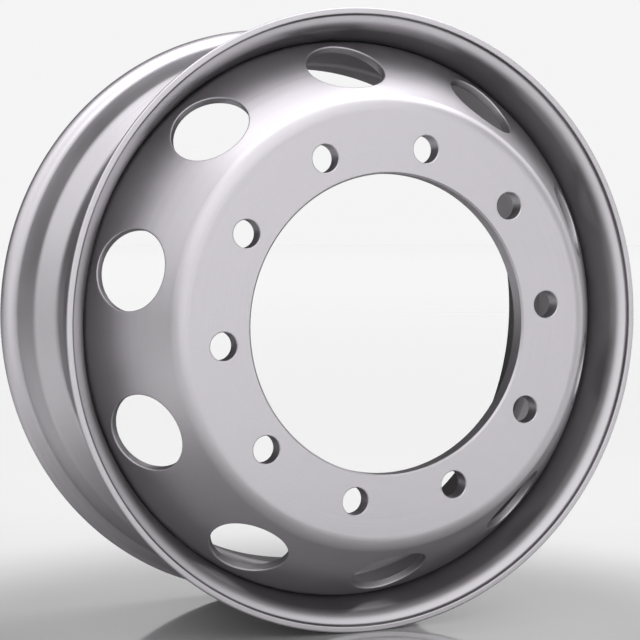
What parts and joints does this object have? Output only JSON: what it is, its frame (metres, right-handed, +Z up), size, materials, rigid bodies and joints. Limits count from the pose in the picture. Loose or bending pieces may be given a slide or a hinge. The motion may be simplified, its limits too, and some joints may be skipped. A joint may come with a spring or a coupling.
{
  "type": "steel disc wheel",
  "caption": "Tubeless steel disc wheel for a truck or trailer: dished disc with pilot bore, bolt holes and round hand holes, welded into a drop-centre rim.",
  "frame": {"origin": "centre of the bolt circle on the disc's mounting face, the concave face that lies against the hub", "axes": "+Y along the spin axis, inboard, the way the hub leaves; the convex face looks along -Y; +Z up"},
  "size_m": [0.5968, 0.283, 0.5968],
  "materials": {
    "silver_paint": "satin metallic"
  },
  "bodies": {
    "root": {"rim": "silver_paint", "disc": "silver_paint", "weld_bead": "silver_paint"}
  },
  "joints": []
}
